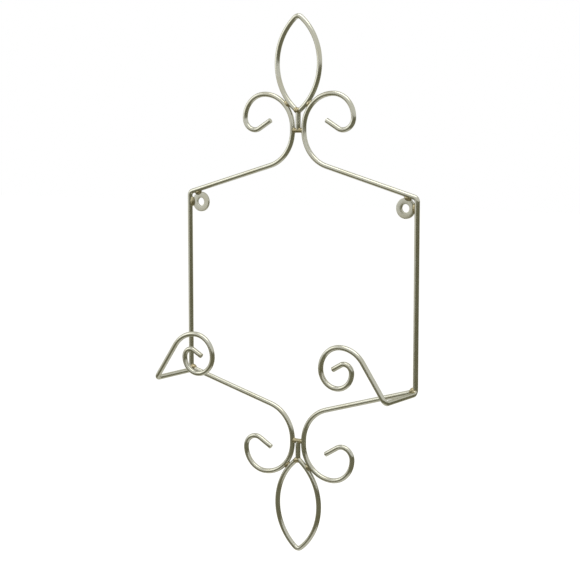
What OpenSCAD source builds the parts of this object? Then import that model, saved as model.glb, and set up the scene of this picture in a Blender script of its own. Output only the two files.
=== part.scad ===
// Wall plate rack: an upright frame of bent round wire with a leaf finial and a pair of
// scrolls at the top and at the bottom, two arms that reach forward and end in spiral
// hooks, and two flat ring eyelets for the wall screws.
//
// Millimetres. X runs to the right as seen from the front, the front faces -Y and Z is up.
// The back of the frame lies in the plane Y = 0, against the wall. The origin is midway
// between the two screw holes.
//
// Each wire is described the way a wire bender works: a start, a heading and a list of
// steps. A step is [length, 0] for a straight run or [radius, turn] for a bend, measured
// on the centre line, and a positive turn goes to the left.

/* [Wire] */
// Diameter of the round wire
wire_d = 3.8; // [3.2:0.1:4.4]
// Centre line radius of the tight bends at the corners and at the ends of the arms
corner_r = 3.4; // [2.6:0.1:6]

/* [Frame] */
// Width between the centre lines of the two stiles
frame_w = 200; // [176:0.2:230]
// Height between the corners, where the sloping wires meet the stiles
stile_l = 139; // [110:0.5:190]
// Slope of the shoulders below the horizontal, in degrees
shoulder_slope = 16; // [10:1:22]
// Centre line radius of the sweep from the neck into the shoulder
shoulder_r = 27; // [20:0.5:36]
// Straight run of the scroll wires through the neck
neck_run = 2.4; // [1:0.2:6]
// Clear gap on each side of the stem, between it and the neck
stem_gap = 1.2; // [0.8:0.1:2]

/* [Leaf finials] */
// Length of the leaf on its centre line, from the root to the tip
leaf_l = 70; // [60:0.5:84]
// Width of the leaf between the centre lines of its sides
leaf_w = 37; // [32:0.2:42]
// Centre line radius of the bend at the leaf's tip
leaf_tip_r = 4; // [3:0.25:5.5]
// Centre line radius of the bend from the stem into the leaf
leaf_root_r = 2.6; // [2.3:0.1:4]
// Length of the stem below the leaf's root
stem_l = 13.2; // [12:0.2:15]

/* [Scrolls] */
// Centre line radius from the neck up to the top of the scroll
scroll_crown_r = 24.9; // [22:0.1:27]
// Centre line radius from the top of the scroll down to its outer side
scroll_outer_r = 17.6; // [15:0.1:20]
// Centre line radius under the scroll
scroll_under_r = 9; // [8:0.1:11]
// Centre line radius of the last bend, which turns up into the scroll
scroll_tuck_r = 8; // [6:0.1:10]
// Angle of the last bend
scroll_tuck = 31; // [20:1:40]
// Straight run at the end of the scroll
scroll_tail = 11.6; // [8:0.1:14]

/* [Plate hooks] */
// Reach of the arms, from the stiles to the hooks, between centre lines
arm_l = 45; // [30:0.5:60]
// Height of the lower corners above the arms
arm_drop = 2; // [1.4:0.1:4]
// Slope of the hook's first run above the horizontal, in degrees
hook_slope = 56; // [45:1:65]
// Length of the hook's first run, from the arm
hook_rise = 32.5; // [24:0.1:36]
// Centre line radius up to the top of the hook
hook_crown_r = 22; // [18:0.1:24]
// Centre line radius down to the side of the hook
hook_outer_r = 16.2; // [14.5:0.1:19]
// Centre line radius under the hook
hook_under_r = 13.5; // [12:0.1:15]
// Centre line radius up the inside of the hook
hook_inner_r = 12; // [10.6:0.1:13]
// Centre line radius over the innermost turn
hook_eye_r = 6.1; // [5.2:0.1:7]
// Centre line radius of the last bend
hook_tuck_r = 5; // [4:0.1:6]
// Angle of the last bend
hook_tuck = 30; // [20:1:40]
// Straight run at the end of the hook
hook_tail = 8; // [5:0.1:9]

/* [Eyelets] */
// Outside diameter of the flat ring eyelets
eyelet_d = 15.2; // [13:0.1:18]
// Diameter of the screw hole
eyelet_hole_d = 6.2; // [4.5:0.1:7]
// Thickness of the eyelets
eyelet_t = 1.5; // [1.2:0.1:2]
// Width of the edges that the punch rolls over, round the front of the eyelets
eyelet_roll = 0.35; // [0.2:0.05:0.5]

/* [Welds] */
// Root gap that a weld fills between two pieces
weld_gap = 0.3; // [0.2:0.05:0.5]
// Radius of one weld pool
pool_r = 1.95; // [1.7:0.05:2.2]
// Distance from one weld pool to the next along a bead
pool_pitch = 1.4; // [1:0.05:1.6]
// Radius of the weld pool where a leaf's end butts on its root
root_pool_r = 2.3; // [2.2:0.05:2.5]
// Radius of the brazed bridge across the neck
bridge_r = 2.3; // [2:0.05:2.6]
// Radius of the hollow that the braze leaves between the neck wires, beyond the stem's end
hollow_r = 3.1; // [2.5:0.1:3.8]
// Depth of that hollow in the edge of the bridge
hollow_depth = 1; // [0.5:0.05:1.3]
// Radius of the weld pool round the end of a lower sloping wire
collar_r = 2.7; // [2.4:0.05:3.2]

/* [Hidden] */
$fn = 32;
// Facets of a full turn of a bend, when the model is drawn
bend_fn = 240;
wire_r = wire_d / 2;
// Bends and straights stop this far short of their joints, and a ball that is larger than
// the wire by joint_swell closes each joint, so that every wire is one clean solid
joint_set = 0.05;
joint_swell = 0.02;
// Hairline between a weld and the metal that it grips
weld_fit = 0.02;
// Facets of the eyelets
ring_fn = 64;

// Frame, seen from the front
frame_half = frame_w / 2;
neck_half = wire_d + stem_gap;
shoulder_turn = 90 - shoulder_slope;
shoulder_sweep_x = shoulder_r * (1 - cos(shoulder_turn));
shoulder_sweep_y = shoulder_r * sin(shoulder_turn);
shoulder_run = (frame_half - neck_half - shoulder_sweep_x) / cos(shoulder_slope);
corner_set = corner_r * tan(shoulder_turn / 2);

// The eyelets nest in the upper corners: one weld gap from the stile and the shoulder
eyelet_r = eyelet_d / 2;
eyelet_off = eyelet_r + weld_gap + wire_r;
eyelet_x = frame_half - eyelet_off;
corner_y = eyelet_off * (1 - sin(shoulder_slope)) / cos(shoulder_slope);
low_y = corner_y - stile_l;
arm_y = low_y - arm_drop;

// Leaf: the radius and the centre of its side, which meets the root and the tip bend
leaf_half = leaf_w / 2;
tip_reach = leaf_l - leaf_tip_r;
tip_lean = leaf_tip_r / tip_reach;
side_mid = (tip_reach - leaf_tip_r * tip_lean) / 2;
side_sum = leaf_half - side_mid * tip_lean;
side_square = side_mid * side_mid + leaf_half * leaf_half;
side_r = side_square / (side_sum + sqrt(side_sum * side_sum - tip_lean * tip_lean * side_square));
side_y = side_mid + side_r * tip_lean;
side_x = side_r - leaf_half;
root_y = side_y - sqrt(pow(side_r + leaf_root_r, 2) - pow(side_x + leaf_root_r, 2));
root_turn = atan2(side_y - root_y, side_x + leaf_root_r);
tip_angle = atan2(tip_reach - side_y, side_x);
// The leaf's end stops one weld gap short of the bend at its own root
root_miss = sqrt(pow(leaf_root_r, 2) + pow(root_y, 2)) - leaf_root_r;
butt_turn = atan2(side_y, side_x) - (wire_r + weld_gap - root_miss) / side_r * 180 / PI;

// The scroll's first bend lies one weld gap from the side of the leaf
crown_x = neck_half + scroll_crown_r;
touch_reach = side_r + scroll_crown_r + wire_d + weld_gap;
neck_y = side_y - sqrt(pow(touch_reach, 2) - pow(side_x + crown_x, 2));
touch_turn = atan2(side_y - neck_y, side_x + crown_x);
touch_r = side_r + wire_r + weld_gap / 2;
touch = [touch_r * cos(touch_turn) - side_x, side_y - touch_r * sin(touch_turn)];

// Height of a leaf's root above its corners
crest_h = neck_run + shoulder_sweep_y + shoulder_run * sin(shoulder_slope) - neck_y;

// Bends of each wire
scroll_steps = [
    [scroll_crown_r, -90],
    [scroll_outer_r, -90],
    [scroll_under_r, -90],
    [scroll_tuck_r, -scroll_tuck],
    [scroll_tail, 0]
];
shoulder_steps = [
    [neck_run, 0],
    [shoulder_r, shoulder_turn]
];
stile_run = stile_l + arm_drop - corner_set - corner_r;
stile_steps = [
    [shoulder_run - corner_set, 0],
    [corner_r, -shoulder_turn],
    [stile_run, 0]
];
// The lower sloping wire stops one weld gap short of the stile
slope_end = frame_half - wire_r - weld_gap - wire_r * sin(shoulder_slope);
slope_run = shoulder_run - (frame_half - slope_end) / cos(shoulder_slope);
slope_steps = [[slope_run, 0]];
hook_heading = 180 - hook_slope;
hook_steps = [
    [hook_rise - corner_r, 0],
    [hook_crown_r, hook_slope],
    [hook_outer_r, 90],
    [hook_under_r, 90],
    [hook_inner_r, 90],
    [hook_eye_r, 90],
    [hook_tuck_r, hook_tuck],
    [hook_tail, 0]
];
leaf_steps = [
    [stem_l + root_y, 0],
    [leaf_root_r, -root_turn],
    [side_r, root_turn + tip_angle],
    [leaf_tip_r, 180 - 2 * tip_angle],
    [side_r, tip_angle + butt_turn]
];

gold = "#c9c19a";
braze = "#cdbf84";

// ---------------------------------------------------------------- bending wire

// Pose [x, y, heading] after one step
function step_on(pose, step) =
    step[1] == 0
        ? [pose[0] + step[0] * cos(pose[2]), pose[1] + step[0] * sin(pose[2]), pose[2]]
        : let (side = sign(step[1]), out = pose[2] + step[1])
          [pose[0] + side * step[0] * (sin(out) - sin(pose[2])),
           pose[1] - side * step[0] * (cos(out) - cos(pose[2])),
           out];

// Pose after the first n steps
function pose_at(start, steps, n) =
    n == 0 ? start : step_on(pose_at(start, steps, n - 1), steps[n - 1]);

// A bend of a round bar about the origin, from one angle to another
module bent_bar(radius, from, sweep, bar_r) {
    set = joint_set / radius * 180 / PI;
    rotate([0, 0, from + set])
        rotate_extrude(angle = sweep - 2 * set, $fn = bend_fn)
            translate([radius, 0])
                circle(r = bar_r, $fn = 32);
}

// A straight round bar from the origin along X
module straight_bar(length, bar_r) {
    translate([joint_set, 0, 0])
        rotate([0, 90, 0])
            cylinder(h = length - 2 * joint_set, r = bar_r);
}

// The bar of one step, from its pose
module bar(pose, step, bar_r) {
    if (step[1] == 0)
        translate([pose[0], pose[1], 0])
            rotate([0, 0, pose[2]])
                straight_bar(step[0], bar_r);
    else {
        side = sign(step[1]);
        centre = [pose[0] - side * step[0] * sin(pose[2]), pose[1] + side * step[0] * cos(pose[2])];
        from = pose[2] - side * 90;
        translate([centre[0], centre[1], 0])
            bent_bar(step[0], min(from, from + step[1]), abs(step[1]), bar_r);
    }
}

// The ball that closes a joint between two steps, with its poles inside the wire
module joint_ball(pose, bar_r) {
    translate([pose[0], pose[1], 0])
        rotate([0, 90, pose[2]])
            sphere(r = bar_r + joint_swell);
}

// A whole flat run of wire
module wire_run(start, steps, bar_r = wire_r) {
    for (i = [0 : len(steps) - 1])
        bar(pose_at(start, steps, i), steps[i], bar_r);
    if (len(steps) > 1)
        for (i = [1 : len(steps) - 1])
            joint_ball(pose_at(start, steps, i), bar_r);
}

// A weld pool about the origin
module pool(radius) {
    rotate([0, 90, 0])
        sphere(r = radius);
}

// A bead of weld pools along X, centred on the origin
module bead(pools) {
    for (i = [0 : pools - 1])
        translate([(i - (pools - 1) / 2) * pool_pitch, 0, 0])
            pool(pool_r);
}

// ---------------------------------------------------------------- placing

// Flat work is drawn in the X-Y plane with its back at Z = 0, then stood against the wall
module stand_up() {
    rotate([90, 0, 0])
        children();
}

// Wires lie with their backs on the wall plane
module in_wire_plane() {
    translate([0, 0, wire_r])
        children();
}

// Work drawn about the root of a leaf, moved to the top or to the bottom of the frame
module at_top() {
    stand_up()
        in_wire_plane()
            translate([0, corner_y + crest_h, 0])
                children();
}

module at_bottom() {
    stand_up()
        in_wire_plane()
            translate([0, low_y - crest_h, 0])
                mirror([0, 1, 0])
                    children();
}

// Work drawn for the right half, moved to the left
module to_left() {
    mirror([1, 0, 0])
        children();
}

// ---------------------------------------------------------------- wires

// Pose at the neck, looking up to the scroll or down to the shoulder
neck_up = [neck_half, neck_y, 90];
neck_down = [neck_half, neck_y, -90];

// Leaf: one wire that rises as the stem, goes round the leaf and butts on its own root
module leaf() {
    color(gold)
        wire_run([0, -stem_l, 90], leaf_steps);
}

// Scroll and neck, with what follows the shoulder's sweep
module scroll_wire(more_steps) {
    wire_run(neck_up, scroll_steps);
    wire_run(neck_down, concat(shoulder_steps, more_steps));
    joint_ball(neck_up, wire_r);
}

// Foot of a stile, drawn from the corner of the stile and the arm: the bend turns forward
module foot_bend(bar_r = wire_r) {
    translate([0, corner_r, corner_r])
        rotate([0, -90, 0])
            bent_bar(corner_r, 180, 90, bar_r);
    joint_ball([0, corner_r, 90], bar_r);
    translate([0, 0, corner_r])
        sphere(r = bar_r + joint_swell);
}

// Arm, from the foot bend forward to the hook's bend
module arm() {
    translate([0, 0, corner_r])
        rotate([0, -90, 0])
            straight_bar(arm_l - 2 * corner_r, wire_r);
}

// Hook, drawn from the corner of the arm and the hook: the wire turns into the hook's
// plane, runs up at a slope and winds in
module hook() {
    rotate([0, 0, hook_heading])
        translate([corner_r, 0, -corner_r])
            rotate([90, 0, 0])
                bent_bar(corner_r, 90, 90, wire_r);
    translate([0, 0, -corner_r])
        sphere(r = wire_r + joint_swell);
    hook_start = [corner_r * cos(hook_heading), corner_r * sin(hook_heading), hook_heading];
    joint_ball(hook_start, wire_r);
    wire_run(hook_start, hook_steps);
}

// Side wire: scroll, neck, shoulder, stile, arm and hook bent from one length
module side_wire() {
    color(gold) {
        at_top()
            scroll_wire(stile_steps);
        stand_up()
            in_wire_plane()
                translate([frame_half, arm_y, 0]) {
                    foot_bend();
                    arm();
                    translate([0, 0, arm_l])
                        hook();
                }
    }
}

// Lower wire: scroll, neck and slope, butted on the side wire at the lower corner
module lower_wire() {
    color(gold)
        at_bottom()
            scroll_wire(slope_steps);
}

// ---------------------------------------------------------------- eyelets

// Ring punched from sheet, with its back at Z = 0 and its front edges rolled. A weld leaves
// room for it by growing it on all sides but the back
module ring(grown = 0) {
    front = eyelet_t + grown;
    inner = eyelet_hole_d / 2 - grown;
    outer = eyelet_r + grown;
    rotate_extrude($fn = ring_fn)
        polygon([
            [inner, 0], [outer, 0],
            [outer, front - eyelet_roll], [outer - eyelet_roll, front],
            [inner + eyelet_roll, front], [inner, front - eyelet_roll]
        ]);
}

// Flat ring eyelet with its back on the wall
module eyelet() {
    color(gold)
        stand_up()
            translate([eyelet_x, 0, 0])
                ring();
}

// ---------------------------------------------------------------- welds

grip_r = wire_r + weld_fit;
// Side of the block that stands for the wall, more than twice as large as the rack
wall_block = 5 * frame_w;

// Grinds a weld flush with the wall plane, which lies at Z = back in its drawing
module ground_flush(back) {
    difference() {
        children();
        translate([-wall_block / 2, -wall_block / 2, back - wall_block])
            cube(wall_block);
    }
}

// Bridge of braze from one neck wire to the other, over the end of the stem
module neck_braze() {
    bridge_y = -stem_l - bridge_r / 2;
    color(braze)
        ground_flush(-wire_r)
            difference() {
                translate([-neck_half, bridge_y, 0])
                    rotate([0, 90, 0])
                        cylinder(h = 2 * neck_half, r = bridge_r);
                translate([0, bridge_y - bridge_r - hollow_r + hollow_depth, -2 * bridge_r])
                    cylinder(h = 4 * bridge_r, r = hollow_r);
                translate([0, -stem_l - weld_fit, 0])
                    rotate([-90, 0, 0])
                        cylinder(h = stem_l, r = grip_r);
                for (side = [0, 1])
                    mirror([side, 0, 0])
                        neck_core();
            }
}

// The neck wire's own space: its straight run and the sweep below it
module neck_core() {
    sweep_start = pose_at(neck_down, shoulder_steps, 1);
    bar(step_on(neck_down, [-bridge_r, 0]), [neck_run + bridge_r, 0], grip_r);
    joint_ball(sweep_start, grip_r);
    bar(sweep_start, shoulder_steps[1], grip_r);
}

// Side of the leaf, as the space that a weld leaves for it
module leaf_side_core() {
    translate([-side_x, side_y, 0])
        bent_bar(side_r, -root_turn, root_turn + tip_angle, grip_r);
}

// Weld over the root of a leaf, where its end butts on its first bend, laid from the front so
// that its back comes no further than the wall plane
module leaf_root_weld() {
    last = len(leaf_steps) - 1;
    color(braze)
        difference() {
            translate([0, wire_r / 2, root_pool_r - wire_r])
                pool(root_pool_r);
            wire_run([0, -stem_l, 90], [for (i = [0 : 2]) leaf_steps[i]], grip_r);
            bar(pose_at([0, -stem_l, 90], leaf_steps, last), leaf_steps[last], grip_r);
        }
}

// Weld bead between the side of the leaf and the scroll
module scroll_weld() {
    color(braze)
        ground_flush(-wire_r)
            difference() {
                translate([touch[0], touch[1], 0])
                    rotate([0, 0, 90 - touch_turn])
                        bead(3);
                leaf_side_core();
                bar(neck_up, scroll_steps[0], grip_r);
            }
}

// Weld round the end of a lower wire, against the foot of the stile
module corner_weld() {
    slope_end_y = low_y - (frame_half - slope_end) * tan(shoulder_slope);
    color(braze)
        stand_up()
            in_wire_plane()
                ground_flush(-wire_r)
                    difference() {
                        translate([frame_half - wire_r, low_y, 0])
                            pool(collar_r);
                        translate([frame_half, arm_y, 0]) {
                            foot_bend(grip_r);
                            translate([0, corner_r, 0])
                                rotate([0, 0, 90])
                                    straight_bar(stile_run, grip_r);
                        }
                        translate([slope_end, slope_end_y, 0])
                            rotate([0, 0, 180 + shoulder_slope])
                                straight_bar(slope_run, grip_r);
                    }
}

// Weld bead between the eyelet and a wire that passes it, at an angle about the eyelet
module eyelet_weld(angle, pools) {
    color(braze)
        stand_up()
            ground_flush(0)
                difference() {
                    translate([eyelet_x, 0, eyelet_t])
                        rotate([0, 0, angle])
                            translate([eyelet_r + weld_gap / 2, 0, 0])
                                rotate([0, 0, 90])
                                    bead(pools);
                    translate([eyelet_x, 0, 0])
                        ring(weld_fit);
                    translate([eyelet_x, 0, wire_r])
                        rotate([0, 0, angle])
                            translate([eyelet_off, -eyelet_d, 0])
                                rotate([-90, 0, 0])
                                    cylinder(h = 2 * eyelet_d, r = grip_r);
                }
}

module eyelet_stile_weld() {
    eyelet_weld(0, 4);
}

module eyelet_shoulder_weld() {
    eyelet_weld(90 - shoulder_slope, 3);
}

// ---------------------------------------------------------------- the rack

at_top() leaf();  // top_leaf
at_bottom() leaf();  // bottom_leaf
to_left() side_wire();  // left_side_wire
side_wire();  // right_side_wire
to_left() lower_wire();  // left_lower_wire
lower_wire();  // right_lower_wire
to_left() eyelet();  // left_eyelet
eyelet();  // right_eyelet
at_top() neck_braze();  // top_neck_braze
at_bottom() neck_braze();  // bottom_neck_braze
at_top() leaf_root_weld();  // top_leaf_root_weld
at_bottom() leaf_root_weld();  // bottom_leaf_root_weld
to_left() at_top() scroll_weld();  // top_left_scroll_weld
at_top() scroll_weld();  // top_right_scroll_weld
to_left() at_bottom() scroll_weld();  // bottom_left_scroll_weld
at_bottom() scroll_weld();  // bottom_right_scroll_weld
to_left() corner_weld();  // left_corner_weld
corner_weld();  // right_corner_weld
to_left() eyelet_stile_weld();  // left_eyelet_stile_weld
eyelet_stile_weld();  // right_eyelet_stile_weld
to_left() eyelet_shoulder_weld();  // left_eyelet_shoulder_weld
eyelet_shoulder_weld();  // right_eyelet_shoulder_weld
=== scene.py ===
"""Looks of the wall plate rack: bent wires, ring eyelets and welds under satin pale gold lacquer.

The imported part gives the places. Sizes are in millimetres, and meshes are made in metres in
the part's own frame: X to the right seen from the front, the front faces -Y, Z is up and the
wall is the plane Y = 0. Flat work is drawn in the X-Z plane, about the root of a leaf or about
the line between the screw holes, and a positive turn goes to the left as seen from the front.
"""

import logging
import math
from dataclasses import dataclass, field
from enum import Enum

import bmesh
import bpy
from bmesh.types import BMEdge, BMesh, BMVert
from bpy.types import ID, Material, Node, NodeSocket, NodeTree, Object
from mathutils import Matrix, Vector


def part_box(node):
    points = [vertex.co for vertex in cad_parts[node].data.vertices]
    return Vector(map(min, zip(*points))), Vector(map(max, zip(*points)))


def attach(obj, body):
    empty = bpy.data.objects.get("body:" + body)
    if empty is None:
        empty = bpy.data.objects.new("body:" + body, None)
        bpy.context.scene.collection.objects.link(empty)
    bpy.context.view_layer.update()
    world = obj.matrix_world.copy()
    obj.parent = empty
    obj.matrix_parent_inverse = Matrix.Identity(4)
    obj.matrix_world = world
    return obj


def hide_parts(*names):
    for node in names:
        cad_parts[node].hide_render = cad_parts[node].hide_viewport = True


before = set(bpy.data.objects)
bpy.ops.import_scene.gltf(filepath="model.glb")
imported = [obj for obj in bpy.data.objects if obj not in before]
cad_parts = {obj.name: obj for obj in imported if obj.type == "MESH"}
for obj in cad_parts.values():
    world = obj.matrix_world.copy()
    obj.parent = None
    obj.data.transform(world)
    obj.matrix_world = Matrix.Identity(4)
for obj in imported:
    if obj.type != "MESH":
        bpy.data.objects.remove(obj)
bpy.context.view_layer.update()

LOG = logging.getLogger("wall_plate_rack")
MM = 0.001
BODY = "root"
FRONT = Vector((0, -1, 0))
LEFTWARDS = Vector((-1, 0, 0))

# The wire, and the gap that a weld fills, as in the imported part
WIRE_D = 3.8
WIRE_R = WIRE_D / 2
WELD_GAP = 0.3
# A ring of 32 points and bends true to 8 micrometres leave no corner to see on the wire
RING_POINTS = 32
BEND_TRUTH = 0.008
RUN_STEP = 4.0
# A shear rolls the rim of a cut end over by this much
CUT_RIM = 0.22
CUT_RIM_STEPS = 3
# A face with more corners than this is a cut end, and stays flat
SMOOTH_CORNERS = 4


class Placed(Enum):
    """A place on the rack whose name goes into the names of its pieces."""

    @property
    def label(self) -> str:
        """The word that the pieces' names use."""
        return self.name.lower()


class Half(Placed):
    """Side of the rack, seen from the front."""

    LEFT = -1
    RIGHT = 1


class Finial(Placed):
    """End of the rack that carries a leaf and two scrolls."""

    TOP = 1
    BOTTOM = -1


class Slot(Enum):
    """Material slots of the record."""

    WIRE = "gold_wire"
    WELD = "braze"


class Pattern(Enum):
    """What the patterns of a finish run along: an attribute, or a set of coordinates."""

    DRAWN_WIRE = "drawn"
    PIECE = "Object"


# ---- bend programs


@dataclass(frozen=True)
class Step:
    """One step of a bend program.

    Args:
        size: length of a straight run, or centre line radius of a bend, in millimetres.
        turn: angle of the bend in degrees, to the left if positive, and 0 for a straight run.
        axis: what the wire turns about, square to its heading. It points up for whoever calls
            the turn left or right.
    """

    size: float
    turn: float = 0.0
    axis: Vector = FRONT

    def back(self) -> "Step":
        """The same step gone through from its other end, or its mirror image."""
        return Step(self.size, -self.turn, self.axis)

    def part(self, length: float) -> "Step":
        """The first millimetres of the step."""
        if not self.turn:
            return Step(length)
        turn = math.degrees(length / self.size)
        return Step(self.size, math.copysign(turn, self.turn), self.axis)


@dataclass(frozen=True)
class Pose:
    """A place in the drawing plane, in millimetres, and a heading in degrees."""

    x: float
    z: float
    heading: float

    def after(self, steps: list[Step]) -> "Pose":
        """Follows a flat bend program.

        Args:
            steps: the program.

        Returns:
            The pose at its end.
        """
        x, z, heading = self.x, self.z, self.heading
        for step in steps:
            before, out = math.radians(heading), math.radians(heading + step.turn)
            if step.turn == 0:
                x += step.size * math.cos(before)
                z += step.size * math.sin(before)
            else:
                side = math.copysign(step.size, step.turn)
                x += side * (math.sin(out) - math.sin(before))
                z -= side * (math.cos(out) - math.cos(before))
            heading += step.turn
        return Pose(x, z, heading)

    def turned_round(self) -> "Pose":
        """The same place, looking the other way."""
        return Pose(self.x, self.z, self.heading + 180)

    def mirrored(self) -> "Pose":
        """The same place on the other half of the rack."""
        return Pose(-self.x, self.z, 180 - self.heading)


def verts_of(geom: list) -> list[BMVert]:
    """The vertices among what an operator made."""
    return [item for item in geom if isinstance(item, BMVert)]


def edges_between(verts: list[BMVert]) -> list[BMEdge]:
    """Edges of a ring.

    Args:
        verts: the ring's vertices.

    Returns:
        The edges that run between two of them.
    """
    own = set(verts)
    near = {edge for vert in verts for edge in vert.link_edges}
    return [edge for edge in near if own.issuperset(edge.verts)]


class WireBender:
    """Bends a round wire from one length, step by step.

    Each vertex keeps its place on the wire as it was before bending, in the attribute drawn:
    across the wire in its first two numbers and along it in the third, in metres. Patterns of
    the drawn wire then follow every bend.
    """

    def __init__(self, start: Pose, mesh: BMesh | None = None) -> None:
        """Sets the wire's first end, with the back of the wire on the wall.

        Args:
            start: where the wire starts in the drawing plane.
            mesh: the mesh that the wire goes into, or nothing for one of its own.
        """
        heading = math.radians(start.heading)
        self.mesh = bmesh.new() if mesh is None else mesh
        layers, attribute = self.mesh.verts.layers.float_vector, Pattern.DRAWN_WIRE.value
        self.drawn = layers.get(attribute) or layers.new(attribute)
        self.place = Vector((start.x, -WIRE_R, start.z)) * MM
        self.heading = Vector((math.cos(heading), 0, math.sin(heading)))
        self.along = 0.0
        ring = bmesh.ops.create_circle(self.mesh, radius=WIRE_R * MM, segments=RING_POINTS)
        for vert in ring["verts"]:
            vert[self.drawn] = vert.co
        across = FRONT.cross(self.heading)
        stand = Matrix((across, FRONT, self.heading)).transposed().to_4x4()
        bmesh.ops.transform(
            self.mesh, matrix=Matrix.Translation(self.place) @ stand, verts=ring["verts"])
        self.first = edges_between(ring["verts"])
        self.last = list(self.first)

    def take_ring(self, geom: list, gained: float) -> None:
        """Makes a new ring the wire's end, and writes how far along the wire it lies.

        Args:
            geom: what the operator made.
            gained: length of centre line since the last ring, in metres.
        """
        self.along += gained
        verts = verts_of(geom)
        for vert in verts:
            vert[self.drawn] = Vector((*vert[self.drawn].xy, self.along))
        self.last = edges_between(verts)

    def run(self, length: float) -> None:
        """Feeds a straight run.

        Args:
            length: its length in millimetres.
        """
        pieces = max(1, round(length / RUN_STEP))
        step = self.heading * (length * MM / pieces)
        for _ in range(pieces):
            fed = bmesh.ops.extrude_edge_only(self.mesh, edges=self.last)["geom"]
            bmesh.ops.translate(self.mesh, verts=verts_of(fed), vec=step)
            self.place = self.place + step
            self.take_ring(fed, step.length)

    def bend(self, step: Step) -> None:
        """Bends the wire.

        Args:
            step: the bend.
        """
        radius, axis = step.size * MM, step.axis
        inward = axis.cross(self.heading) * math.copysign(radius, step.turn)
        centre = self.place + inward
        finest = 2 * math.degrees(math.acos(1 - BEND_TRUTH / step.size))
        pieces = max(2, math.ceil(abs(step.turn) / finest))
        angle = math.radians(step.turn / pieces)
        for _ in range(pieces):
            spun = bmesh.ops.spin(
                self.mesh, geom=self.last, cent=centre, axis=axis, angle=angle, steps=1,
                use_merge=False, use_duplicate=False)["geom_last"]
            self.take_ring(spun, abs(angle) * radius)
        turned = Matrix.Rotation(math.radians(step.turn), 3, axis)
        self.place = centre - turned @ inward
        self.heading = turned @ self.heading

    def follow(self, steps: list[Step]) -> None:
        """Follows a bend program.

        Args:
            steps: the program.
        """
        for step in steps:
            if step.turn:
                self.bend(step)
            else:
                self.run(step.size)

    def cut_off(self) -> BMesh:
        """Caps both ends as a shear leaves them, square with a slightly rolled rim.

        Returns:
            The finished mesh.
        """
        rims = []
        for ring in (self.first, self.last):
            caps = bmesh.ops.contextual_create(self.mesh, geom=ring)["faces"]
            rims += [edge for cap in caps for edge in cap.edges]
        bmesh.ops.bevel(
            self.mesh, geom=rims, offset=CUT_RIM * MM, segments=CUT_RIM_STEPS, profile=0.5,
            affect="EDGES", material=-1)
        return self.mesh


# ---- pieces


def add_object(name: str, data: ID) -> Object:
    """Adds an object to the scene."""
    added = bpy.data.objects.new(name, data)
    bpy.context.scene.collection.objects.link(added)
    return added


def add_mesh(name: str, mesh: BMesh) -> Object:
    """Adds a finished mesh to the scene as an object."""
    data = bpy.data.meshes.new(name)
    mesh.to_mesh(data)
    mesh.free()
    return add_object(name, data)


def finish_piece(mesh: BMesh, name: str, node: str, place: Matrix) -> Object:
    """Sets a mesh in its place and makes it a piece that stands for its node.

    Args:
        mesh: the mesh, as drawn.
        name: the piece's name.
        node: the node that it stands for.
        place: where the drawing goes, which may mirror it.

    Returns:
        The piece.
    """
    bmesh.ops.transform(mesh, matrix=place, verts=mesh.verts)
    bmesh.ops.recalc_face_normals(mesh, faces=mesh.faces)
    for face in mesh.faces:
        face.smooth = len(face.verts) <= SMOOTH_CORNERS
    piece = add_mesh(name, mesh)
    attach(piece, BODY)
    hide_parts(node)
    low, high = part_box(node)
    spans = [[corner[axis] for corner in piece.bound_box] for axis in range(3)]
    off = max(
        max(abs(min(span) - low[axis]), abs(max(span) - high[axis]))
        for axis, span in enumerate(spans))
    LOG.info("%s stands for %s, %d faces, box within %.2f mm", name, node,
             len(piece.data.polygons), off / MM)
    return piece


@dataclass(frozen=True)
class Layout:
    """Places of the drawings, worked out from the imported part."""

    leaf_l: float = 70.0
    stile_l: float = 139.0
    arm_drop: float = 2.0
    eyelet_x: float = field(
        default_factory=lambda: sum(corner.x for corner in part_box("right_eyelet")) / 2 / MM)
    eyelet_d: float = field(
        default_factory=lambda: (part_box("right_eyelet")[1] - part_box("right_eyelet")[0]).x / MM)
    top_z: float = field(default_factory=lambda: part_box("top_leaf")[1].z / MM)
    bottom_z: float = field(default_factory=lambda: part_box("bottom_leaf")[0].z / MM)

    @property
    def frame_half(self) -> float:
        """Distance from the middle to the centre line of a stile."""
        return self.eyelet_x + self.eyelet_d / 2 + WELD_GAP + WIRE_R

    def root(self, end: Finial) -> float:
        """Height of the root of a leaf above the screw holes, in millimetres."""
        tip = self.top_z if end is Finial.TOP else self.bottom_z
        return tip - end.value * (WIRE_R + self.leaf_l)

    @property
    def corner_z(self) -> float:
        """Height of the upper corners, from the middle between the two roots."""
        return (self.root(Finial.TOP) + self.root(Finial.BOTTOM) + self.stile_l) / 2

    @property
    def low_z(self) -> float:
        """Height of the lower corners."""
        return self.corner_z - self.stile_l

    @property
    def arm_z(self) -> float:
        """Height of the arms."""
        return self.low_z - self.arm_drop

    def set_down(self, half: Half, end: Finial) -> Matrix:
        """Where the right half's drawing about a leaf's root goes, mirrored if need be."""
        mirror = Matrix.Diagonal((half.value, 1, end.value, 1))
        return Matrix.Translation((0, 0, self.root(end) * MM)) @ mirror


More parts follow.
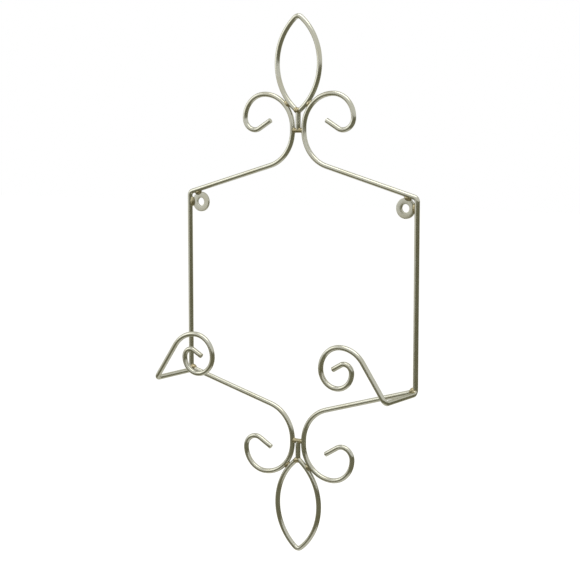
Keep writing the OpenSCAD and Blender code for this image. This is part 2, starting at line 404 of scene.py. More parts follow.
@dataclass(frozen=True)
class LeafWire:
    """Leaf finial: one wire that rises as the stem, goes round and butts on its own root."""

    layout: Layout
    width: float = 37.0
    tip_r: float = 4.0
    root_r: float = 2.6
    stem_l: float = 13.2

    @property
    def reach(self) -> float:
        """Height of the centre of the tip's bend above the root."""
        return self.layout.leaf_l - self.tip_r

    @property
    def side_r(self) -> float:
        """Radius of the leaf's sides, which run from the root into the tip's bend."""
        half, lean = self.width / 2, self.tip_r / self.reach
        middle = (self.reach - self.tip_r * lean) / 2
        total, square = half - middle * lean, middle**2 + half**2
        return square / (total + math.sqrt(total**2 - lean**2 * square))

    @property
    def side_centre(self) -> tuple[float, float]:
        """Centre of the right side's bend: how far left of the middle, and how high."""
        lean = self.tip_r / self.reach
        middle = (self.reach - self.tip_r * lean) / 2
        return self.side_r - self.width / 2, middle + self.side_r * lean

    @property
    def root_z(self) -> float:
        """Height at which the stem turns into the leaf."""
        side_x, side_z = self.side_centre
        return side_z - math.sqrt((self.side_r + self.root_r)**2 - (side_x + self.root_r)**2)

    def foot(self) -> Pose:
        """Foot of the stem, looking up to the leaf."""
        return Pose(0, -self.stem_l, 90)

    def program(self) -> list[Step]:
        """The bend program from the foot of the stem."""
        side_x, side_z = self.side_centre
        root_turn = math.degrees(math.atan2(side_z - self.root_z, side_x + self.root_r))
        tip_angle = math.degrees(math.atan2(self.reach - side_z, side_x))
        # The wire's end stops one weld gap short of the wire of its own root bend
        miss = math.hypot(self.root_r, self.root_z) - self.root_r
        short = math.degrees((WIRE_R + WELD_GAP - miss) / self.side_r)
        butt_turn = math.degrees(math.atan2(side_z, side_x)) - short
        return [
            Step(self.stem_l + self.root_z),
            Step(self.root_r, -root_turn),
            Step(self.side_r, root_turn + tip_angle),
            Step(self.tip_r, 180 - 2 * tip_angle),
            Step(self.side_r, tip_angle + butt_turn),
        ]

    def build(self, end: Finial) -> Object:
        """Bends the leaf of one end of the rack.

        Args:
            end: which leaf.

        Returns:
            The piece.
        """
        bender = WireBender(self.foot())
        bender.follow(self.program())
        return finish_piece(
            bender.cut_off(), f"leaf_wire_{end.label}", f"{end.label}_leaf",
            self.layout.set_down(Half.RIGHT, end))


@dataclass(frozen=True)
class ScrollWork:
    """Scroll, neck and shoulder, which the side wires and the lower wires share."""

    layout: Layout
    leaf: LeafWire
    stem_gap: float = 1.2
    crown_r: float = 24.9
    outer_r: float = 17.6
    under_r: float = 9.0
    tuck_r: float = 8.0
    tuck: float = 31.0
    tail: float = 11.6
    neck_run: float = 2.4
    shoulder_r: float = 27.0
    slope: float = 16.0

    @property
    def neck_half(self) -> float:
        """Distance from the middle to the centre line at the neck."""
        return WIRE_D + self.stem_gap

    @property
    def touch(self) -> tuple[float, float, float]:
        """Where the scroll passes the leaf: across, up and the leaf's angle there in degrees."""
        side_x, side_z = self.leaf.side_centre
        apart = side_x + self.neck_half + self.crown_r
        turn = math.degrees(math.atan2(side_z - self.neck_z, apart))
        reach = self.leaf.side_r + WIRE_R + WELD_GAP / 2
        lean = math.radians(turn)
        return reach * math.cos(lean) - side_x, side_z - reach * math.sin(lean), turn

    @property
    def neck_z(self) -> float:
        """Height of the neck, at which the scroll clears the leaf by one weld gap."""
        side_x, side_z = self.leaf.side_centre
        reach = self.leaf.side_r + self.crown_r + WIRE_D + WELD_GAP
        return side_z - math.sqrt(reach**2 - (side_x + self.neck_half + self.crown_r)**2)

    @property
    def shoulder_run(self) -> float:
        """Length of the shoulder from its sweep to the corner."""
        sweep_x = self.shoulder_r * (1 - math.sin(math.radians(self.slope)))
        return ((self.layout.frame_half - self.neck_half - sweep_x)
                / math.cos(math.radians(self.slope)))

    def neck(self) -> Pose:
        """The neck, looking up to the scroll."""
        return Pose(self.neck_half, self.neck_z, 90)

    def start(self) -> Pose:
        """Free end of the scroll, looking along the wire."""
        return self.neck().after(self.scroll()).turned_round()

    def scroll(self) -> list[Step]:
        """The scroll's program from the neck."""
        return [
            Step(self.crown_r, -90), Step(self.outer_r, -90), Step(self.under_r, -90),
            Step(self.tuck_r, -self.tuck), Step(self.tail),
        ]

    def shoulder(self) -> list[Step]:
        """The program from the neck to the end of the shoulder's sweep."""
        return [Step(self.neck_run), Step(self.shoulder_r, 90 - self.slope)]

    def program(self) -> list[Step]:
        """The program from the scroll's free end to the end of the shoulder's sweep."""
        return [step.back() for step in reversed(self.scroll())] + self.shoulder()


@dataclass(frozen=True)
class SideWire:
    """Side wire: scroll, shoulder, stile, arm and spiral hook bent from one length."""

    scrollwork: ScrollWork
    corner_r: float = 3.4
    arm_l: float = 45.0
    hook_slope: float = 56.0
    hook_rise: float = 32.5
    spiral_radii: tuple[float, ...] = (22.0, 16.2, 13.5, 12.0, 6.1)
    tuck_r: float = 5.0
    tuck: float = 30.0
    tail: float = 8.0

    def hook(self) -> list[Step]:
        """The hook's program, from the end of its first bend."""
        turns = [self.hook_slope] + [90.0] * (len(self.spiral_radii) - 1)
        spiral = [Step(radius, turn) for radius, turn in zip(self.spiral_radii, turns)]
        return [Step(self.hook_rise - self.corner_r), *spiral, Step(self.tuck_r, self.tuck),
                Step(self.tail)]

    def foot(self) -> list[Step]:
        """The bend at the foot of the stile, into the arm, and the arm."""
        return [Step(self.corner_r, 90, LEFTWARDS), Step(self.arm_l - 2 * self.corner_r)]

    def program(self) -> list[Step]:
        """The whole program, from the scroll's free end to the hook's."""
        work, layout = self.scrollwork, self.scrollwork.layout
        shoulder_turn = 90 - work.slope
        corner_set = self.corner_r * math.tan(math.radians(shoulder_turn / 2))
        stile = layout.stile_l + layout.arm_drop - corner_set - self.corner_r
        heading = math.radians(180 - self.hook_slope)
        into_hook = Vector((-math.sin(heading), 0, math.cos(heading)))
        return [
            *work.program(), Step(work.shoulder_run - corner_set),
            Step(self.corner_r, -shoulder_turn), Step(stile), *self.foot(),
            Step(self.corner_r, 90, into_hook), *self.hook(),
        ]

    def build(self, half: Half) -> Object:
        """Bends the side wire of one side.

        Args:
            half: which side.

        Returns:
            The piece.
        """
        bender = WireBender(self.scrollwork.start())
        bender.follow(self.program())
        return finish_piece(
            bender.cut_off(), f"side_wire_{half.label}", f"{half.label}_side_wire",
            self.scrollwork.layout.set_down(half, Finial.TOP))


@dataclass(frozen=True)
class LowerWire:
    """Lower wire: scroll, neck and slope, butted on the side wire at the lower corner."""

    scrollwork: ScrollWork

    def program(self) -> list[Step]:
        """The program from the scroll's free end to the stile, which it misses by a weld gap."""
        slope = math.radians(self.scrollwork.slope)
        short = WIRE_R + WELD_GAP + WIRE_R * math.sin(slope)
        run = self.scrollwork.shoulder_run - short / math.cos(slope)
        return [*self.scrollwork.program(), Step(run)]

    def build(self, half: Half) -> Object:
        """Bends the lower wire of one side.

        Args:
            half: which side.

        Returns:
            The piece.
        """
        bender = WireBender(self.scrollwork.start())
        bender.follow(self.program())
        return finish_piece(
            bender.cut_off(), f"lower_wire_{half.label}", f"{half.label}_lower_wire",
            self.scrollwork.layout.set_down(half, Finial.BOTTOM))


@dataclass(frozen=True)
class Eyelet:
    """Ring eyelet punched from sheet, flat on the wall, with its front edges rolled over."""

    layout: Layout
    hole_d: float = 6.2
    thickness: float = 1.5
    rolled_edge: float = 0.35
    rolled_steps: int = 4
    # Angle between two sections of the ring, in degrees
    section_angle: float = 3.75
    # Only the ring's rims turn by more than this, in degrees
    rim_angle: float = 60.0

    def punch(
        self, mesh: BMesh, middle: float = 0.0, sweep: float = 360.0, under: float = 0.0,
    ) -> None:
        """Adds the ring of the right half, or a sector of it, to a mesh.

        Args:
            mesh: the mesh.
            middle: angle of the sector's middle from the right, in degrees.
            sweep: angle that the sector covers, in degrees.
            under: how far it stays under the ring's own surface, in millimetres.
        """
        centre = Vector((self.layout.eyelet_x, 0, 0)) * MM
        inner, outer = self.hole_d / 2 + under, self.layout.eyelet_d / 2 - under
        front = self.thickness - under
        first = Matrix.Rotation(math.radians(middle - sweep / 2), 3, FRONT)
        section = [(inner, under), (outer, under), (outer, front), (inner, front)]
        corners = [
            mesh.verts.new(centre + first @ Vector((across, -out, 0)) * MM)
            for across, out in section]
        outline = [mesh.edges.new(pair) for pair in zip(corners, corners[1:] + corners[:1])]
        ring = sweep == 360
        spun = bmesh.ops.spin(
            mesh, geom=outline, cent=centre, axis=FRONT, angle=math.radians(sweep),
            steps=math.ceil(sweep / self.section_angle), use_merge=ring, use_duplicate=False)
        if not ring:
            far = [item for item in spun["geom_last"] if isinstance(item, BMEdge)]
            for loop in (outline, far):
                bmesh.ops.contextual_create(mesh, geom=loop)

    def build(self, half: Half) -> Object:
        """Punches the ring of one side.

        Args:
            half: which side.

        Returns:
            The piece.
        """
        mesh = bmesh.new()
        self.punch(mesh)
        front = -self.thickness * MM
        rims = [
            edge for edge in mesh.edges
            if edge.calc_face_angle(0) > math.radians(self.rim_angle)
            and all(math.isclose(vert.co.y, front, abs_tol=1e-6) for vert in edge.verts)]
        bmesh.ops.bevel(
            mesh, geom=rims, offset=self.rolled_edge * MM, segments=self.rolled_steps,
            profile=0.5, affect="EDGES", material=-1)
        return finish_piece(
            mesh, f"eyelet_{half.label}_ring", f"{half.label}_eyelet",
            Matrix.Diagonal((half.value, 1, 1, 1)))


@dataclass(frozen=True)
class Pool:
    """One weld pool: a ball of molten metal, in the drawing and in millimetres."""

    centre: Vector
    radius: float


@dataclass(frozen=True)
class WireGrip:
    """Short length of wire that a weld takes hold of."""

    start: Pose
    steps: tuple[Step, ...]

    def mirrored(self) -> "WireGrip":
        """The same length on the other half of the rack."""
        return WireGrip(self.start.mirrored(), tuple(step.back() for step in self.steps))

    def lay(self, mesh: BMesh) -> None:
        """Adds the length to a weld's mesh."""
        bender = WireBender(self.start, mesh)
        bender.follow(list(self.steps))
        bender.cut_off()


@dataclass(frozen=True)
class RingGrip:
    """Sector of an eyelet that a weld takes hold of."""

    eyelet: Eyelet
    middle: float
    sweep: float = 75.0
    # How far it stays under the ring's surface, which the weld covers by a hair
    under: float = 0.06

    def lay(self, mesh: BMesh) -> None:
        """Adds the sector to a weld's mesh."""
        self.eyelet.punch(mesh, self.middle, self.sweep, self.under)


@dataclass(frozen=True)
class Weld:
    """Weld pools that run together and out on to the metal that they grip.

    Args:
        node: the node that it stands for.
        pools: the pools.
        grips: the metal that it grips, which it covers by less than a hair.
        place: where the drawing goes.
    """

    node: str
    pools: list[Pool]
    grips: list[WireGrip | RingGrip]
    place: Matrix
    # Fine enough for a fillet of 0.6 mm, which forms as the surface settles
    grain: float = 0.13
    settling: int = 45
    settle_share: float = 0.5
    ball_subdivisions: int = 4

    def build(self) -> Object:
        """Lays the pools, grinds them flush with the wall plane and melts them on to the metal.

        Returns:
            The piece.
        """
        mesh = bmesh.new()
        for pool in self.pools:
            bmesh.ops.create_icosphere(
                mesh, subdivisions=self.ball_subdivisions, radius=pool.radius * MM,
                matrix=Matrix.Translation(pool.centre * MM))
        bmesh.ops.bisect_plane(
            mesh, geom=[*mesh.verts, *mesh.edges, *mesh.faces], plane_co=(0, 0, 0),
            plane_no=-FRONT, clear_outer=True)
        open_edges = [edge for edge in mesh.edges if edge.is_boundary]
        bmesh.ops.holes_fill(mesh, edges=open_edges, sides=0)
        for grip in self.grips:
            grip.lay(mesh)
        piece = finish_piece(mesh, f"weld_{self.node}", self.node, self.place)
        melt = piece.modifiers.new("melt", "REMESH")
        melt.mode = "VOXEL"
        melt.voxel_size = self.grain * MM
        melt.use_smooth_shade = True
        settle = piece.modifiers.new("settle", "SMOOTH")
        settle.factor = self.settle_share
        settle.iterations = self.settling
        return piece


@dataclass(frozen=True)
class WeldShop:
    """Places every weld of the rack."""

    leaf: LeafWire
    side: SideWire
    lower: LowerWire
    eyelet: Eyelet
    # Length of a bead on a scroll or a shoulder, and on a stile
    short_bead: float = 2.8
    long_bead: float = 4.2
    pool_r: float = 1.95
    # The ripples of a bead, which lie closer than the pools of the part and show as much
    ripple: float = 0.95
    # The first and the last pool of a bead are smaller by this share, as the arc starts and ends
    run_out: float = 0.2
    root_r: float = 2.15
    bridge_r: float = 2.3
    bridge_pools: int = 17
    hollow_depth: float = 1.0
    fillet_r: float = 1.5
    collar_r: float = 2.7
    # How far a weld's grip on a wire reaches past its pools
    overrun: float = 1.3

    @property
    def work(self) -> ScrollWork:
        """The scrollwork that the welds hold together."""
        return self.side.scrollwork

    def bead(self, centre: Vector, run_angle: float, length: float) -> list[Pool]:
        """Lays pools side by side on a straight line.

        Args:
            centre: middle of the line, in millimetres.
            run_angle: direction of the line in the drawing plane, in degrees.
            length: distance from the first pool to the last, in millimetres.

        Returns:
            The pools.
        """
        angle = math.radians(run_angle)
        along = Vector((math.cos(angle), 0, math.sin(angle))) * length
        count = round(length / self.ripple)
        places = [index / count - 0.5 for index in range(count + 1)]
        return [Pool(centre + along * place, self.pool_r * (1 - self.run_out * (2 * place)**2))
                for place in places]

    def along(self, middle: Pose, wire: Step, length: float) -> WireGrip:
        """Wire on both sides of the middle of a bead.

        Args:
            middle: the wire's pose beside the middle of the bead.
            wire: the bend or the run that the wire makes there.
            length: length of the bead, as for bead().

        Returns:
            The length that the bead grips.
        """
        reach = length / 2 + self.pool_r + self.overrun
        start = middle.turned_round().after([wire.back().part(reach)]).turned_round()
        return WireGrip(start, (wire.part(2 * reach),))

    def neck_braze(self, end: Finial) -> Weld:
        """Bridge over the end of the stem from one neck wire to the other.

        Args:
            end: end of the rack.

        Returns:
            The weld, which reaches further along the neck wires than in the middle.
        """
        work = self.work
        middle = -self.leaf.stem_l - self.bridge_r / 2
        waist = self.bridge_r - self.hollow_depth / 2
        half_span, fillet_x = work.neck_half - waist / 2, work.neck_half - WIRE_R / 2
        high, low = middle + self.hollow_depth / 2, middle - self.hollow_depth / 2
        centre = (self.bridge_pools - 1) / 2
        pools = [
            Pool(Vector((half_span * (index / centre - 1), -WIRE_R, high)), waist)
            for index in range(self.bridge_pools)]
        pools += [
            Pool(Vector((half.value * fillet_x, -WIRE_R, low)), self.fillet_r) for half in Half]
        crown, above = work.scroll()[0], self.overrun + self.bridge_r
        start = work.neck().after([crown.part(above)]).turned_round()
        run, sweep = work.shoulder()
        neck = WireGrip(start, (crown.part(above).back(), run, sweep.part(above)))
        stem = WireGrip(self.leaf.foot(), (Step(above + self.overrun),))
        return Weld(f"{end.label}_neck_braze", pools, [neck, neck.mirrored(), stem],
                    work.layout.set_down(Half.RIGHT, end))

    def root_weld(self, end: Finial) -> Weld:
        """Weld over the root of a leaf, laid from the front.

        Args:
            end: end of the rack.

        Returns:
            The weld.
        """
        stem, root, side, tip, back = self.leaf.program()
        reach = self.root_r + 2 * self.overrun
        rising = Pose(0, self.leaf.root_z - reach, 90)
        ending = self.leaf.foot().after([stem, root, side, tip, back]).turned_round()
        pools = [Pool(Vector((x, -self.root_r, z)), self.root_r)
                 for x, z in ((0, WIRE_R / 2), (ending.x, ending.z))]
        return Weld(
            f"{end.label}_leaf_root_weld", pools,
            [WireGrip(rising, (Step(reach), root, side.part(reach))),
             WireGrip(ending, (back.back().part(reach),))],
            self.work.layout.set_down(Half.RIGHT, end))

    def scroll_weld(self, half: Half, end: Finial) -> Weld:
        """Bead between the side of a leaf and a scroll.

        Args:
            half: side of the rack.
            end: end of the rack.

        Returns:
            The weld.
        """
        x, z, turn = self.work.touch
        across = Vector((math.cos(math.radians(turn)), 0, -math.sin(math.radians(turn))))
        middle = Vector((x, -WIRE_R, z))
        grips = []
        for away, wire in ((-1, self.leaf.program()[2]), (1, self.work.scroll()[0])):
            place = middle + across * away * (WIRE_R + WELD_GAP / 2)
            grips.append(self.along(Pose(place.x, place.z, 90 - turn), wire, self.short_bead))
        return Weld(
            f"{end.label}_{half.label}_scroll_weld",
            self.bead(middle, 90 - turn, self.short_bead), grips,
            self.work.layout.set_down(half, end))

    def corner_weld(self, half: Half) -> Weld:
        """Weld round the end of a lower wire, against the foot of the stile.

        Args:
            half: side of the rack.

        Returns:
            The weld, drawn about the root of the bottom leaf, head down.
        """
        layout = self.work.layout
        root = layout.root(Finial.BOTTOM)
        reach = self.collar_r + self.overrun
        bend_z = layout.arm_z + self.side.corner_r
        corner = root - layout.low_z
        foot, arm = self.side.foot()
        stile = WireGrip(
            Pose(layout.frame_half, root - bend_z - reach, 90),
            (Step(reach), Step(foot.size, -90, LEFTWARDS), arm.part(self.overrun)))
        ending = self.work.start().after(self.lower.program()).turned_round()
        return Weld(
            f"{half.label}_corner_weld",
            [Pool(Vector((layout.frame_half - WIRE_R, -WIRE_R, corner)), self.collar_r)],
            [stile, WireGrip(ending, (Step(reach),))], layout.set_down(half, Finial.BOTTOM))

    def eyelet_weld(self, half: Half, name: str, angle: float, length: float) -> Weld:
        """Bead between an eyelet and a wire that passes it.

        Args:
            half: side of the rack.
            name: what the wire is called there.
            angle: direction of the bead from the middle of the eyelet, in degrees.
            length: length of the bead, as for bead().

        Returns:
            The weld.
        """
        layout = self.work.layout
        lean = math.radians(angle)
        out = Vector((math.cos(lean), 0, math.sin(lean)))
        centre = Vector((layout.eyelet_x, 0, 0))
        edge = layout.eyelet_d / 2 + WELD_GAP / 2
        place = centre + out * (edge + WELD_GAP / 2 + WIRE_R)
        pools = self.bead(centre + out * edge + FRONT * self.eyelet.thickness, angle + 90, length)
        return Weld(
            f"{half.label}_eyelet_{name}_weld", pools,
            [self.along(Pose(place.x, place.z, angle + 90), Step(length), length),
             RingGrip(self.eyelet, angle)],
            Matrix.Diagonal((half.value, 1, 1, 1)))

    def welds(self) -> list[Weld]:
        """Places every weld, finial by finial and then side by side."""
        found = []
        for end in Finial:
            found += [self.neck_braze(end), self.root_weld(end)]
            found += [self.scroll_weld(half, end) for half in Half]
        for half in Half:
            found += [
                self.corner_weld(half), self.eyelet_weld(half, "stile", 0, self.long_bead),
                self.eyelet_weld(half, "shoulder", 90 - self.work.slope, self.short_bead)]
        return found


# ---- finishes


def linear(hex_colour: str) -> tuple[float, float, float, float]:
    """Turns an sRGB hex colour, such as "#b9b590", to linear, with an alpha of 1."""
    parts = [int(hex_colour[i:i + 2], 16) / 255 for i in (1, 3, 5)]
    return (*(c / 12.92 if c <= 0.04045 else ((c + 0.055) / 1.055) ** 2.4 for c in parts), 1.0)


def add_node(
    tree: NodeTree, kind: str, settings: dict | None = None, inputs: dict | None = None,
) -> Node:
    """Adds a node with its settings and links.

    Args:
        tree: the node tree.
        kind: the node's type.
        settings: its own settings by name.
        inputs: a value, or a socket to link from, for each input by name or number.

    Returns:
        The node.
    """
    node = tree.nodes.new(kind)
    for name, value in (settings or {}).items():
        setattr(node, name, value)
    for name, value in (inputs or {}).items():
        if isinstance(value, NodeSocket):
            tree.links.new(value, node.inputs[name])
        else:
            node.inputs[name].default_value = value
    return node


def new_material(name: str) -> tuple[Material, NodeTree]:
    """Makes an empty node material.

    Args:
        name: its name.

    Returns:
        The material and its tree.
    """
    material = bpy.data.materials.new(name)
    material.use_nodes = True
    material.node_tree.nodes.clear()
    return material, material.node_tree


@dataclass(frozen=True)
class GoldLacquer:
    """Champagne gold metallic lacquer, sprayed on drawn steel wire and baked.

    The flake is fine, so it reads as a satin metal: pale cream where it mirrors the bright
    studio, olive where it mirrors the dark side, with a soft edge between the two.
    """

    name: str
    light: str = "#bbbbae"
    warm: str = "#b6b4a2"
    # The flake's binder keeps the edges cream, where bare metal would turn white
    edge: str = "#c9c8b8"
    roughness: float = 0.2
    coat: float = 0.1
    coat_roughness: float = 0.12
    # Lacquer varies in depth over stretches of about 18 mm
    patch: float = 18.0
    # Die lines are 0.05 mm wide on the real wire, and drawn 0.4 mm wide so that they show
    die_line: float = 0.4
    die_line_length: float = 14.0
    # Orange peel of the sprayed lacquer
    peel: float = 0.9
    peel_depth: float = 0.0015
    groove_depth: float = 0.0008
    # How far the lines change the roughness, either way
    roughness_spread: float = 0.03
    # The stretch of each noise that the colours and the roughness span
    patch_range: tuple[float, float] = (0.35, 0.65)
    line_range: tuple[float, float] = (0.3, 0.7)
    pattern: Pattern = Pattern.DRAWN_WIRE

    def material(self) -> Material:
        """Builds the material."""
        material, tree = new_material(self.name)
        if self.pattern is Pattern.PIECE:
            source = add_node(tree, "ShaderNodeTexCoord").outputs[self.pattern.value]
        else:
            source = add_node(tree, "ShaderNodeAttribute", {
                "attribute_name": self.pattern.value}).outputs["Vector"]
        patches = add_node(tree, "ShaderNodeTexNoise", None, {
            "Vector": source, "Scale": 1 / (self.patch * MM), "Detail": 3.0, "Roughness": 0.55})
        stretch = add_node(tree, "ShaderNodeMapping", None, {
            "Vector": source, "Scale": (1, 1, self.die_line / self.die_line_length)})
        lines = add_node(tree, "ShaderNodeTexNoise", None, {
            "Vector": stretch.outputs["Vector"], "Scale": 1 / (self.die_line * MM),
            "Detail": 2.0})
        peel = add_node(tree, "ShaderNodeTexNoise", None, {
            "Vector": source, "Scale": 1 / (self.peel * MM), "Detail": 1.0})
        tone = add_node(tree, "ShaderNodeMapRange", None, {
            "Value": patches.outputs["Fac"], "From Min": self.patch_range[0],
            "From Max": self.patch_range[1]})
        colour = add_node(tree, "ShaderNodeMix", {"data_type": "RGBA"}, {
            "Factor": tone.outputs["Result"], "A": linear(self.light), "B": linear(self.warm)})
        rough = add_node(tree, "ShaderNodeMapRange", None, {
            "Value": lines.outputs["Fac"], "From Min": self.line_range[0],
            "From Max": self.line_range[1], "To Min": self.roughness - self.roughness_spread,
            "To Max": self.roughness + self.roughness_spread})
        grooves = add_node(tree, "ShaderNodeBump", None, {
            "Height": lines.outputs["Fac"], "Distance": self.groove_depth * MM,
            "Strength": 1.0})
        skin = add_node(tree, "ShaderNodeBump", None, {
            "Height": peel.outputs["Fac"], "Distance": self.peel_depth * MM, "Strength": 1.0,
            "Normal": grooves.outputs["Normal"]})
        shader = add_node(tree, "ShaderNodeBsdfPrincipled", None, {
            "Base Color": colour.outputs["Result"], "Metallic": 1.0,
            "Specular Tint": linear(self.edge), "Roughness": rough.outputs["Result"],
            "Coat Weight": self.coat, "Coat Roughness": self.coat_roughness,
            "Normal": skin.outputs["Normal"]})
        add_node(tree, "ShaderNodeOutputMaterial", None, {"Surface": shader.outputs["BSDF"]})
        return material


# ---- studio


@dataclass(frozen=True)
class Flag:
    """A dark cloth screen that the metal mirrors, out of the camera's sight.

    It has one even tone, whatever falls on it, and puts no light or shade on the rack.

    Args:
        name: its name.
        middle: direction of its middle from the rack, in degrees round from the front.
        spread: angle from its middle to either side edge, in degrees.
        profile: its radius and height at each fold, in metres.
    """

    name: str
    middle: float
    spread: float
    profile: tuple[tuple[float, float], ...]
    colour: str = "#7c7a64"
    steps: int = 32

    def build(self) -> None:
        """Stretches the cloth over a curve round the rack."""
        mesh = bmesh.new()
        foot = Matrix.Rotation(math.radians(self.middle - self.spread), 3, "Z")
        folds = [mesh.verts.new(foot @ Vector((0, -radius, z))) for radius, z in self.profile]
        upright = [mesh.edges.new(pair) for pair in zip(folds, folds[1:])]
        bmesh.ops.spin(
            mesh, geom=[*folds, *upright], cent=(0, 0, 0), axis=(0, 0, 1),
            angle=math.radians(2 * self.spread), steps=self.steps, use_merge=False,
            use_duplicate=False)
        screen = add_stage(mesh, self.name)
        screen.visible_camera = False
        screen.visible_diffuse = False
        screen.visible_shadow = False
        # Olive grey cloth, which gives each wire its dark core
        material, tree = new_material(f"dark_studio_cloth_{self.name}")
        cloth = add_node(tree, "ShaderNodeEmission", None, {
            "Color": linear(self.colour), "Strength": 1.0})
        add_node(tree, "ShaderNodeOutputMaterial", None, {"Surface": cloth.outputs["Emission"]})
        screen.data.materials.append(material)


def add_stage(mesh: BMesh, name: str) -> Object:
    """Adds a mesh of the studio to the scene as an object.

    Args:
        mesh: the mesh.
        name: its name.

    Returns:
        The object.
    """
    staged = add_mesh(name, mesh)
    LOG.info("%s is part of the studio", name)
    return staged


def add_ray_test(tree: NodeTree) -> tuple[Node, NodeSocket]:
    """Adds a test of how a surface of the studio comes to be seen.

    Args:
        tree: the node tree.

    Returns:
        The light path node, and a socket that is 1 where metal or glass shows the surface.
    """
    path = add_node(tree, "ShaderNodeLightPath")
    mirrored = add_node(tree, "ShaderNodeMath", {"operation": "MAXIMUM"}, {
        0: path.outputs["Is Glossy Ray"], 1: path.outputs["Is Transmission Ray"]})
    return path, mirrored.outputs["Value"]


@dataclass(frozen=True)
class Softbox:
    """A soft lamp that points at the rack.

    Args:
        name: its name.
        place: where it hangs, in metres.
        size: its width and height in metres.
        power: its power in watts.
    """

    name: str
    place: tuple[float, float, float]
    size: tuple[float, float]
    power: float

    def hang(self, aim: Vector) -> None:
        """Hangs the lamp.

        Args:
            aim: the point that it is turned to, in metres.
        """
        lamp = bpy.data.lights.new(self.name, "AREA")
        lamp.shape = "RECTANGLE"
        lamp.size, lamp.size_y = self.size
        lamp.energy = self.power
        hung = add_object(self.name, lamp)
        hung.location = self.place
        hung.rotation_euler = (aim - Vector(self.place)).to_track_quat("-Z", "Y").to_euler()


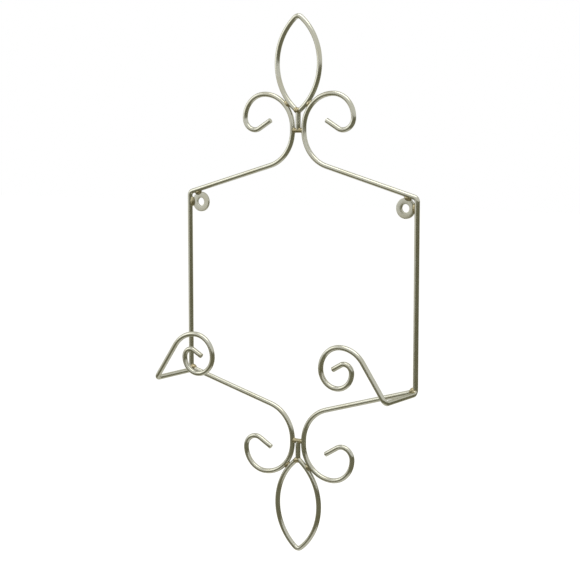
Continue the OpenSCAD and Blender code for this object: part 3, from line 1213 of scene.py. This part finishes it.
@dataclass(frozen=True)
class Studio:
    """Pale floor, soft lamps, dark screens round a white room, and the camera.

    In metres and degrees, but for the lens and its sensor, in millimetres.
    """

    floor_z: float = -0.5
    floor_size: float = 16.0
    azimuth: float = 32.1
    elevation: float = 6.1
    distance: float = 1.067
    pivot: Vector = field(default_factory=lambda: Vector((0.0144, -0.020, -0.0564)))
    aim: Vector = field(default_factory=lambda: Vector((0.0072, -0.0245, -0.0615)))
    lens: float = 90.0
    sensor: float = 36.0
    clip_start: float = 0.05
    # What the floor adds to its light, so that the camera sees it as white
    paper_lift: float = 0.62
    # The room shows as white, and gives half as much light as it shows
    room_light: float = 0.5
    room_shown: float = 1.0

    def flags(self) -> list[Flag]:
        """The screens: one upright round the camera's side, one low round the front."""
        return [
            Flag("upright_flag", 66.0, 86.0, ((1.25, -0.30), (1.35, 0.12))),
            Flag("low_flag", 40.0, 125.0, ((0.24, -0.46), (0.9, -0.42), (1.25, -0.30)),
                 "#8c8a75"),
        ]

    def softboxes(self) -> list[Softbox]:
        """The lamps: a large one overhead and a smaller one at the left."""
        return [
            Softbox("top_softbox", (0.1, -0.25, 1.3), (1.3, 0.9), 8.0),
            Softbox("left_softbox", (-1.2, -0.8, 0.55), (0.7, 0.9), 3.0),
        ]

    def build_floor(self) -> None:
        """Lays the floor, which reads as white, keeps a shadow and is mirrored evenly."""
        mesh = bmesh.new()
        bmesh.ops.create_grid(
            mesh, x_segments=1, y_segments=1, size=self.floor_size / 2,
            matrix=Matrix.Translation((0, 0, self.floor_z)))
        floor = add_stage(mesh, "floor")
        # Matt paper takes a soft shadow, and the metal mirrors an even white in its place
        material, tree = new_material("matt_white_studio_paper")
        path, mirrored = add_ray_test(tree)
        lift = add_node(tree, "ShaderNodeMath", {"operation": "MULTIPLY"}, {
            0: path.outputs["Is Camera Ray"], 1: self.paper_lift})
        paper = add_node(tree, "ShaderNodeBsdfDiffuse", None, {"Color": linear("#e9e8e4")})
        glow = add_node(tree, "ShaderNodeEmission", None, {
            "Color": linear("#ffffff"), "Strength": lift.outputs["Value"]})
        both = add_node(tree, "ShaderNodeAddShader", None, {
            0: paper.outputs["BSDF"], 1: glow.outputs["Emission"]})
        even = add_node(tree, "ShaderNodeEmission", None, {
            "Color": linear("#f6f5f1"), "Strength": 1.0})
        shown = add_node(tree, "ShaderNodeMixShader", None, {
            0: mirrored, 1: both.outputs["Shader"], 2: even.outputs["Emission"]})
        add_node(tree, "ShaderNodeOutputMaterial", None, {"Surface": shown.outputs["Shader"]})
        floor.data.materials.append(material)

    def build_world(self) -> None:
        """Lights the room: white where it is seen or mirrored, and softer as light."""
        world = bpy.data.worlds.new("white_studio")
        world.use_nodes = True
        tree = world.node_tree
        tree.nodes.clear()
        path, mirrored = add_ray_test(tree)
        seen = add_node(tree, "ShaderNodeMath", {"operation": "MAXIMUM"}, {
            0: path.outputs["Is Camera Ray"], 1: mirrored})
        strength = add_node(tree, "ShaderNodeMapRange", None, {
            "Value": seen.outputs["Value"], "To Min": self.room_light,
            "To Max": self.room_shown})
        light = add_node(tree, "ShaderNodeBackground", None, {
            "Color": linear("#ffffff"), "Strength": strength.outputs["Result"]})
        add_node(tree, "ShaderNodeOutputWorld", None, {"Surface": light.outputs["Background"]})
        bpy.context.scene.world = world

    def build_camera(self) -> None:
        """Sets the camera at the photograph's viewing angle."""
        azimuth, elevation = math.radians(self.azimuth), math.radians(self.elevation)
        back = Vector((math.sin(azimuth) * math.cos(elevation),
                       -math.cos(azimuth) * math.cos(elevation), math.sin(elevation)))
        camera = add_object("camera", bpy.data.cameras.new("camera"))
        camera.data.sensor_width = self.sensor
        camera.data.lens = self.lens
        camera.data.clip_start = self.clip_start
        camera.location = self.pivot + back * self.distance
        camera.rotation_euler = (self.aim - camera.location).to_track_quat("-Z", "Y").to_euler()
        bpy.context.scene.camera = camera

    def build(self) -> None:
        """Sets up the whole studio."""
        self.build_floor()
        for flag in self.flags():
            flag.build()
        self.build_world()
        for softbox in self.softboxes():
            softbox.hang(self.aim)
        self.build_camera()
        bpy.context.scene.view_settings.view_transform = "Standard"


def main() -> None:
    """Builds the rack, dresses it and sets up the studio."""
    logging.basicConfig(level=logging.INFO, format="%(name)s: %(message)s")
    layout = Layout()
    leaf = LeafWire(layout)
    work = ScrollWork(layout, leaf)
    side, lower, eyelet = SideWire(work), LowerWire(work), Eyelet(layout)
    wire_gold = GoldLacquer("satin_gold_lacquer_on_drawn_wire").material()
    # Punched sheet has the same lacquer, but no drawn wire for its lines to follow
    ring_gold = GoldLacquer(
        "satin_gold_lacquer_on_punched_sheet", pattern=Pattern.PIECE).material()
    # Weld metal under the lacquer is rougher and pitted; its darker, yellower colour is painted
    # shade where the wires meet
    weld_gold_painted_shade = GoldLacquer(
        "satin_gold_lacquer_on_weld_bead", light="#a69f81", warm="#998e6e", roughness=0.3,
        peel_depth=0.008, pattern=Pattern.PIECE).material()

    wires = [leaf.build(end) for end in Finial]
    wires += [side.build(half) for half in Half]
    wires += [lower.build(half) for half in Half]
    for piece in wires:
        piece.data.materials.append(wire_gold)
    for half in Half:
        eyelet.build(half).data.materials.append(ring_gold)
    for weld in WeldShop(leaf, side, lower, eyelet).welds():
        weld.build().data.materials.append(weld_gold_painted_shade)

    Studio().build()


if __name__ == "__main__":
    main()
